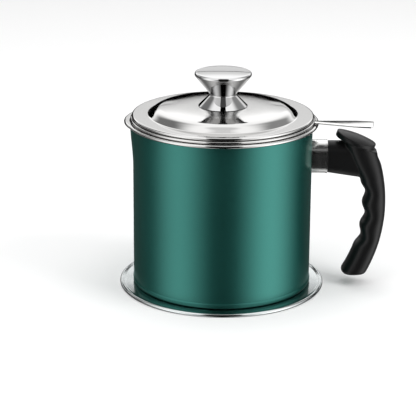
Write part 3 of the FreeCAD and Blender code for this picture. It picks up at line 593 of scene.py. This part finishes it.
def woven_tree():
    """Geometry Nodes: a square weave, drawn flat, then pressed on to a turned form. A wire's distance from
    the middle of the cloth becomes its distance along the form's section. The wires pass over and under."""
    tree = bpy.data.node_groups.new("woven_cup", "GeometryNodeTree")
    for name, kind, way in (("Section", "Geometry", "INPUT"), ("Wires", "Int", "INPUT"),
                            ("Pitch", "Float", "INPUT"), ("Wire Diameter", "Float", "INPUT"),
                            ("Cloth Radius", "Float", "INPUT"), ("Finish", "Material", "INPUT"),
                            ("Piece", "Geometry", "OUTPUT")):
        tree.interface.new_socket(name, in_out=way, socket_type="NodeSocket" + kind)
    add, join = tree.nodes.new, tree.links.new
    given, made = add("NodeGroupInput"), add("NodeGroupOutput")

    def vector(operation, *values):
        node = add("ShaderNodeVectorMath")
        node.operation = operation
        for socket, value in zip(node.inputs, values):
            join(value, socket)
        return node

    def joined(x=None, y=None, z=None):
        node = add("ShaderNodeCombineXYZ")
        for socket, value in zip(node.inputs, (x, y, z)):
            if value is not None:
                join(value, socket)
        return node.outputs[0]

    def scaled(vector_socket, factor):
        node = vector("SCALE", vector_socket)
        join(factor, node.inputs["Scale"])
        return node.outputs[0]

    form = add("GeometryNodeMeshToCurve")
    join(given.outputs["Section"], form.inputs[0])
    pitch = given.outputs["Pitch"]
    width = calc(tree, "MULTIPLY", calc(tree, "SUBTRACT", given.outputs["Wires"], 1), pitch)
    corner = calc(tree, "MULTIPLY", width, -0.5)
    ring = add("GeometryNodeCurvePrimitiveCircle")
    ring.inputs["Resolution"].default_value = wire_corners
    join(calc(tree, "MULTIPLY", given.outputs["Wire Diameter"], wire_corner_reach), ring.inputs["Radius"])
    cloth = add("GeometryNodeJoinGeometry")
    for family in (0, 1):
        lines = []
        for axis in (family, 1 - family):
            line = add("GeometryNodeMeshLine")
            join(given.outputs["Wires"], line.inputs["Count"])
            start, step = [None, None], [None, None]
            start[axis], step[axis] = corner, pitch
            join(joined(*start), line.inputs["Start Location"])
            join(joined(*step), line.inputs["Offset"])
            lines.append(line.outputs[0])
        rows = add("GeometryNodeInstanceOnPoints")
        join(lines[0], rows.inputs["Points"])
        join(lines[1], rows.inputs["Instance"])
        loose = add("GeometryNodeRealizeInstances")
        join(rows.outputs[0], loose.inputs[0])
        flat = add("GeometryNodeInputPosition").outputs[0]
        from_middle = vector("LENGTH", flat).outputs["Value"]
        outside = calc(tree, "GREATER_THAN", from_middle, given.outputs["Cloth Radius"])
        trimmed = add("GeometryNodeDeleteGeometry")
        join(loose.outputs[0], trimmed.inputs["Geometry"])
        join(outside, trimmed.inputs["Selection"])
        parts = add("ShaderNodeSeparateXYZ")
        join(flat, parts.inputs[0])
        across = [calc(tree, "SUBTRACT", parts.outputs[k], corner) for k in (0, 1)]
        counts = [calc(tree, "ROUND", calc(tree, "DIVIDE", distance, pitch)) for distance in across]
        odd = calc(tree, "MODULO", calc(tree, "ADD", *counts), 2)
        side = calc(tree, "SUBTRACT", calc(tree, "MULTIPLY", odd, 2), 1)
        sway = calc(tree, "MULTIPLY", calc(tree, "MULTIPLY", side, given.outputs["Wire Diameter"]),
                    0.5 if family else -0.5)
        spot = add("GeometryNodeSampleCurve")
        spot.mode = "LENGTH"
        spot.use_all_curves = True
        join(form.outputs[0], spot.inputs["Curves"])
        join(from_middle, spot.inputs["Length"])
        place = add("ShaderNodeSeparateXYZ")
        slope = add("ShaderNodeSeparateXYZ")
        join(spot.outputs["Position"], place.inputs[0])
        join(spot.outputs["Tangent"], slope.inputs[0])
        out = calc(tree, "SUBTRACT", place.outputs[0], calc(tree, "MULTIPLY", slope.outputs[2], sway))
        up = calc(tree, "ADD", place.outputs[2], calc(tree, "MULTIPLY", slope.outputs[0], sway))
        away = scaled(vector("NORMALIZE", flat).outputs[0], out)
        moved = add("GeometryNodeSetPosition")
        join(trimmed.outputs[0], moved.inputs["Geometry"])
        join(vector("ADD", away, joined(z=up)).outputs[0], moved.inputs["Position"])
        wires = add("GeometryNodeMeshToCurve")
        join(moved.outputs[0], wires.inputs[0])
        drawn = add("GeometryNodeCurveToMesh")
        drawn.inputs["Fill Caps"].default_value = True
        join(wires.outputs[0], drawn.inputs["Curve"])
        join(ring.outputs[0], drawn.inputs["Profile Curve"])
        join(drawn.outputs[0], cloth.inputs[0])
    real = add("GeometryNodeRealizeInstances")
    join(cloth.outputs[0], real.inputs[0])
    finished = add("GeometryNodeSetMaterial")
    join(real.outputs[0], finished.inputs["Geometry"])
    join(given.outputs["Finish"], finished.inputs["Material"])
    join(finished.outputs[0], made.inputs["Piece"])
    return tree


wire_steel = brushed_material("drawn_wire_steel", (0.50, 0.50, 0.49), (0.66, 0.66, 0.64),
                              roughness=0.3, spread=0.2, scratches=(700.0, 700.0, 700.0), depth=0.003)
form_start, form_heading, form_moves = moves_through(
    [(0, mesh_floor), (mesh_bottom_radius, mesh_floor), (mesh_middle, frame_bottom - mesh_bend / 2),
     (mesh_middle, frame_bottom + clamp_height - mesh_edge_drop)], [mesh_corner, mesh_bend])
form = sheet_section(form_start, form_heading, form_moves, 0.0)
form = form[:len(form) // 2]
weave_length = sum((b - a).length for a, b in zip(form, form[1:]))
wires_across = 2 * math.ceil(weave_length / wire_pitch) + 1
woven_cup = made_plain("woven_strainer_cup", [Vector((p.x, 0, p.y)) * mm for p in form], woven_tree(), {
    "Wires": wires_across, "Pitch": wire_pitch * mm, "Wire Diameter": wire_diameter * mm,
    "Cloth Radius": weave_length * mm, "Finish": wire_steel})
woven_cup.data.shade_smooth()
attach(woven_cup, "strainer")
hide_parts("strainer_mesh")

tab_turn, tab_thickness, tab_edge = 8.0, 0.9, 0.12
tab_corner, tab_corner_steps = 1.6, 6
tab_root_half, tab_end_half = 2.7, 7.3
tab_flare, tab_length = 27.0, 38.9
tab_weld = strainer_bead * 0.35


def tab_outline():
    """Corners of the tab seen from above, from the weld out to its rounded end and back."""
    side = [(-tab_weld, -tab_root_half), (0, -tab_root_half), (tab_flare, -tab_end_half)]
    centre = Vector((tab_length - tab_corner, -tab_end_half + tab_corner))
    spokes = [90 * k / tab_corner_steps - 90 for k in range(tab_corner_steps + 1)]
    side += [tuple(centre + direction(degrees) * tab_corner) for degrees in spokes]
    return side + [(x, -y) for x, y in reversed(side)]


tab_mesh = bmesh.new()
tab_middle = (strainer_bottom + strainer_top) / 2
corners = [tab_mesh.verts.new(Vector((strainer_radius + x, y, tab_middle - tab_thickness / 2)) * mm)
           for x, y in tab_outline()]
tab_face = tab_mesh.faces.new(corners)
raised = bmesh.ops.extrude_face_region(tab_mesh, geom=[tab_face])
bmesh.ops.translate(tab_mesh, vec=(0, 0, tab_thickness * mm),
                    verts=[item for item in raised["geom"] if isinstance(item, bmesh.types.BMVert)])
level_edges = [edge for edge in tab_mesh.edges
               if abs(edge.verts[0].co.z - edge.verts[1].co.z) < merge_distance]
bmesh.ops.bevel(tab_mesh, geom=level_edges, offset=tab_edge * mm, segments=3, affect="EDGES", profile=0.5)
bmesh.ops.rotate(tab_mesh, cent=(0, 0, 0), matrix=Matrix.Rotation(-math.radians(tab_turn), 3, "Z"),
                 verts=tab_mesh.verts)
tab_data = bpy.data.meshes.new("lifting_tab")
tab_mesh.to_mesh(tab_data)
tab_mesh.free()
tab = placed("lifting_tab", tab_data)
tab_steel = brushed_material("satin_tab_steel", (0.66, 0.66, 0.655), (0.76, 0.76, 0.75),
                             roughness=0.16, spread=0.12, scratches=(60.0, 2600.0, 2600.0), depth=0.002)
tab_data.materials.append(tab_steel)
smoothed(tab)
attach(tab, "strainer")
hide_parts("strainer_tab")


# --- lid ---------------------------------------------------------------------------------------------------
# Pressed from one disc of stainless sheet and polished: a flat flange with a rolled edge, a short wall with a
# rounded shoulder, and a low crown, brushed over round the knob's seat. A skirt is spot-welded underneath.

lid_sheet, lid_bead, lid_flange, lid_inset = 0.6, 2.2, 9.4, 1.0
lid_radius = strainer_radius - lid_inset
lid_top = strainer_top + seat_gap + lid_bead
dome_rise, foot_bend, wall_slope, shoulder_radius, crown_radius = 5.6, 1.8, 42.0, 10.0, 300.0
knob_seat_radius, screw_hole = 18.0, 2.75
lid_seat = lid_top + dome_rise

# the crown's slope and the wall's length follow from the dome's rise and the place of its foot
wall_angle = math.radians(wall_slope)
dome_run = (lid_radius - lid_bead / 2 - lid_flange - knob_seat_radius
            - (shoulder_radius + foot_bend) * math.sin(wall_angle))
dome_fall = (dome_rise - crown_radius + shoulder_radius * math.cos(wall_angle)
             - foot_bend * (1 - math.cos(wall_angle)))
crown_angle = wall_angle - math.acos((dome_run * math.sin(wall_angle) - dome_fall * math.cos(wall_angle))
                                     / (crown_radius - shoulder_radius))
dome_wall = (dome_run - (crown_radius - shoulder_radius) * math.sin(crown_angle)) / math.cos(wall_angle)
crown_slope = math.degrees(crown_angle)

mirror_steel = spun_material("mirror_lid_steel", (0.55, 0.546, 0.54), (0.52, 0.516, 0.51),
                             roughness=0.05, rings=0.02, pitch=2600.0, haze=0.03, depth=0.0003)


def rise(tree, value, start, end):
    """0 at the start, going smoothly to 1 at the end; the end may be the lower of the two."""
    node = tree.nodes.new("ShaderNodeMapRange")
    node.interpolation_type = "SMOOTHSTEP"
    node.inputs["From Min"].default_value = start
    node.inputs["From Max"].default_value = end
    tree.links.new(value, node.inputs["Value"])
    return node.outputs["Result"]


def satin_crown(material, full_radius, clear_radius, added_roughness):
    """Brushes a polished material over round the axis, up to the full radius, fading out at the clear one."""
    tree = material.node_tree
    rough = tree.nodes["Principled BSDF"].inputs["Roughness"]
    polished = rough.links[0].from_socket
    inside = rise(tree, polar(tree)[-1], clear_radius * mm, full_radius * mm)
    tree.links.new(calc(tree, "ADD", polished, calc(tree, "MULTIPLY", inside, added_roughness)), rough)


satin_crown(mirror_steel, full_radius=26.0, clear_radius=38.0, added_roughness=0.13)
lid_pressing = turned("lid_pressing", sheet_section(
    (screw_hole, lid_seat - lid_sheet / 2), 0,
    [(knob_seat_radius - screw_hole,), (crown_radius, -crown_slope),
     (shoulder_radius, crown_slope - wall_slope), (dome_wall,), (foot_bend, wall_slope),
     (lid_flange,), ((lid_bead - lid_sheet) / 2, -270)],
    lid_sheet), mirror_steel, segments=400)
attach(lid_pressing, "lid")
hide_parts("lid_shell")
dress("lid_skirt", clamp_steel)


# --- knob --------------------------------------------------------------------------------------------------
# An hourglass pressed from thin steel with a shallow domed cap let into its rim, both chrome-bright. A tapped
# boss inside the waist takes the screw and washer that hold it from under the lid.

knob_sheet, knob_waist_bend, knob_rim_bend = 0.8, 1.4, 0.6
knob_base_radius, knob_waist_radius, knob_top_radius = 16.6, 8.5, 19.1
knob_waist_height, knob_rim_height = 8.0, 21.8
cap_edge, cap_slope = 0.8, 3.0
knob_rim = lid_seat + knob_rim_height

stem_base, stem_waist, stem_top = (radius - knob_sheet / 2 for radius in
                                   (knob_base_radius, knob_waist_radius, knob_top_radius))
stem_start, stem_heading, stem_moves = moves_through(
    [(stem_base, lid_seat), (stem_waist, lid_seat + knob_waist_height), (stem_top, knob_rim - knob_rim_bend),
     (stem_top, knob_rim)], [knob_waist_bend, knob_rim_bend])
stem_section = sheet_section(stem_start, stem_heading, stem_moves, knob_sheet)
knob_steel = spun_material("chrome_knob_steel", (0.52, 0.52, 0.52), (0.50, 0.50, 0.50),
                           roughness=0.035, rings=0.02, pitch=3000.0, haze=0.02, depth=0.0005)
knob_stem = turned("knob_stem", [(p.x, max(p.y, lid_seat)) for p in stem_section], knob_steel, segments=256)
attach(knob_stem, "lid")
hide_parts("knob_body")

cap_sine, cap_cosine = math.sin(math.radians(cap_slope)), math.cos(math.radians(cap_slope))
cap_crown = (stem_top - cap_edge * (1 - cap_sine)) / cap_sine
cap_rise = cap_crown * (1 - cap_cosine) + cap_edge * cap_cosine
knob_cap = turned("knob_domed_cap", sheet_section(
    (0, knob_rim + cap_rise), 0, [(cap_crown, -cap_slope), (cap_edge, cap_slope - 90)],
    knob_sheet), knob_steel, segments=256)
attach(knob_cap, "lid")
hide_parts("knob_cap")
for fastener in ("knob_boss", "knob_washer", "knob_screw"):
    dress(fastener, zinc_steel)


# --- studio ------------------------------------------------------------------------------------------------
# A plain pale floor under soft lamps, against white. Round it hangs a light tent that only gloss can see:
# pale cloth with a broad bright side to the left and right and a black strip in front. Close behind the
# container stands a black card, as is usual for bright metal.

tent_radius, tent_middle = 12.0, 0.12


def tent_material():
    """Cloth of the tent. Its light, where 1 is white, is worked out from the azimuth, which goes from the
    front round to the right, and from the elevation about the tent's middle, both in degrees."""
    material, tree, shader = new_material("light_tent")
    _, x, y, z, level = polar(tree)
    degrees = 180 / math.pi
    azimuth = calc(tree, "MULTIPLY", calc(tree, "ARCTAN2", x, calc(tree, "MULTIPLY", y, -1)), degrees)
    height = calc(tree, "SUBTRACT", z, tent_middle)
    elevation = calc(tree, "MULTIPLY", calc(tree, "ARCTAN2", height, level), degrees)
    from_front = calc(tree, "ABSOLUTE", azimuth)

    def climb(start, end):
        """Rise from one elevation to another."""
        return rise(tree, elevation, start, end)

    def swing(start, end):
        """Rise from one azimuth to another, the same on the left as on the right."""
        return rise(tree, from_front, start, end)

    def add(*values):
        total = values[0]
        for value in values[1:]:
            total = calc(tree, "ADD", total, value)
        return total

    def times(*values):
        total = values[0]
        for value in values[1:]:
            total = calc(tree, "MULTIPLY", total, value)
        return total

    def without(value):
        return calc(tree, "SUBTRACT", 1, value)

    def bright_side(middle, fade, strength):
        """Light low down on one side, fading out both ways from its middle."""
        off_middle = calc(tree, "ABSOLUTE", calc(tree, "SUBTRACT", azimuth, middle))
        return times(rise(tree, off_middle, fade, 0), climb(15, 8), climb(-58, -38), strength)

    skirt = times(climb(-2, -12), climb(-58, -38), 0.16)
    foot = climb(-56, -72)
    back_panel = times(swing(126, 136), climb(2, 4), climb(13.7, 13.5), 0.95)
    roof = add(climb(13.9, 14.1), times(climb(15, 19), 0.65), times(climb(73, 82), -0.6))
    left_more = times(rise(tree, azimuth, 20, -20), 0.08)
    shaded = times(swing(78, 112), swing(165, 140), climb(14, 30), climb(72, 46), add(left_more, 0.75))
    cloth = times(add(skirt, back_panel, roof, foot), without(shaded))
    light = add(cloth, bright_side(66, 52, 2.4), bright_side(-57, 48, 1.8))

    narrowing = times(calc(tree, "MAXIMUM", elevation, 0), -0.17)
    off_strip = add(calc(tree, "ABSOLUTE", calc(tree, "SUBTRACT", azimuth, 2)), narrowing)
    blackness = calc(tree, "MAXIMUM", add(times(climb(28, 22), 0.12), 0.88), climb(38, 46))
    black_strip = times(rise(tree, off_strip, 20, 17), climb(79, 77.5), blackness)
    shader.inputs["Base Color"].default_value = (0, 0, 0, 1)
    shader.inputs["Specular IOR Level"].default_value = 0
    shader.inputs["Emission Color"].default_value = (1, 1, 1, 1)
    tree.links.new(times(light, without(black_strip)), shader.inputs["Emission Strength"])
    material.cycles.emission_sampling = "NONE"
    return material


def for_gloss_only(thing):
    """Hides an object from everything but shiny surfaces."""
    thing.visible_camera = False
    thing.visible_diffuse = False
    thing.visible_shadow = False
    thing.visible_transmission = False


tent_mesh = bpy.data.meshes.new("light_tent")
tent_work = bmesh.new()
bmesh.ops.create_uvsphere(tent_work, u_segments=48, v_segments=24, radius=tent_radius)
tent_work.to_mesh(tent_mesh)
tent_work.free()
tent_mesh.materials.append(tent_material())
light_tent = placed("light_tent", tent_mesh)
for_gloss_only(light_tent)

card_behind = 0.33
card_outline = ((-0.4, 0.136), (0.4, 0.136), (0.4, 0.191), (-0.075, 0.191), (-0.135, 0.222), (-0.4, 0.26))
card_mesh = bpy.data.meshes.new("black_card")
card_mesh.from_pydata([(x, card_behind, z) for x, z in card_outline], [], [range(len(card_outline))])
card_material, _, card_shader = new_material("black_card")
card_shader.inputs["Base Color"].default_value = (0, 0, 0, 1)
card_shader.inputs["Specular IOR Level"].default_value = 0
card_mesh.materials.append(card_material)
black_card = placed("black_card", card_mesh)
for_gloss_only(black_card)

floor_reach = 4.0
floor_corners = [(x * floor_reach, y * floor_reach, 0) for x, y in ((-1, -1), (1, -1), (1, 1), (-1, 1))]
floor_mesh = bpy.data.meshes.new("studio_floor")
floor_mesh.from_pydata(floor_corners, [], [(0, 1, 2, 3)])
floor_material, _, floor_shader = new_material("pale_floor")
floor_shader.inputs["Base Color"].default_value = (0.96, 0.96, 0.96, 1)
floor_shader.inputs["Roughness"].default_value = 0.9
floor_shader.inputs["Specular IOR Level"].default_value = 0.1
floor_mesh.materials.append(floor_material)
studio_floor = placed("studio_floor", floor_mesh)
studio_floor.visible_glossy = False

room_light = 0.55               # what matt surfaces get of the white world, which eyes and gloss see whole
world = bpy.data.worlds.new("white_studio")
bpy.context.scene.world = world
world.use_nodes = True
world.cycles.sampling_method = "NONE"
sky = world.node_tree
background = sky.nodes["Background"]
seen = sky.nodes.new("ShaderNodeLightPath")
shown = calc(sky, "MAXIMUM", seen.outputs["Is Camera Ray"], seen.outputs["Is Glossy Ray"])
shown = calc(sky, "MAXIMUM", shown, seen.outputs["Is Transmission Ray"])
whole_light = calc(sky, "ADD", room_light, calc(sky, "MULTIPLY", shown, 1 - room_light))
background.inputs["Color"].default_value = (1, 1, 1, 1)
sky.links.new(whole_light, background.inputs["Strength"])
lamps_aim = Vector((0, 0, 0.06))


def hang_lamp(name, place, size, power):
    """Square soft lamp that looks at the middle of the pot and lights matt surfaces only."""
    light = bpy.data.lights.new(name, "AREA")
    light.shape = "SQUARE"
    light.size = size
    light.energy = power
    lamp = placed(name, light)
    turn = (lamps_aim - Vector(place)).to_track_quat("-Z", "Y")
    lamp.matrix_world = Matrix.Translation(place) @ turn.to_matrix().to_4x4()
    lamp.visible_camera = False
    lamp.visible_glossy = False


hang_lamp("soft_right", place=(1.1, -0.5, 0.9), size=0.8, power=9.0)
hang_lamp("soft_left", place=(-1.0, -0.7, 0.9), size=0.8, power=6.0)
hang_lamp("soft_top", place=(0.0, 0.3, 1.6), size=1.6, power=12.0)


# --- camera ------------------------------------------------------------------------------------------------
# A long lens looks down a little at the middle of the container, then is turned slightly left and down and
# rolled, so that the container sits right of the middle of the picture.

aim_height, eye_distance, eye_elevation = 0.075, 1.150, 17.25
turn_left, turn_down, roll = 0.499, 1.049, 0.37

camera_data = bpy.data.cameras.new("camera")
camera_data.lens = 146.3
camera_data.sensor_width = 36.0
camera_data.clip_start = 0.05
camera_data.clip_end = 50.0
camera = placed("camera", camera_data)
view_angle = math.radians(eye_elevation)
eye = Vector((0, 0, aim_height)) + Vector((0, -math.cos(view_angle), math.sin(view_angle))) * eye_distance
camera.matrix_world = (Matrix.Translation(eye) @ Matrix.Rotation(math.radians(turn_left), 4, "Z")
                       @ Matrix.Rotation(math.radians(90 - eye_elevation - turn_down), 4, "X")
                       @ Matrix.Rotation(math.radians(roll), 4, "Z"))
bpy.context.scene.camera = camera
bpy.context.scene.view_settings.view_transform = "Standard"

bpy.context.view_layer.update()
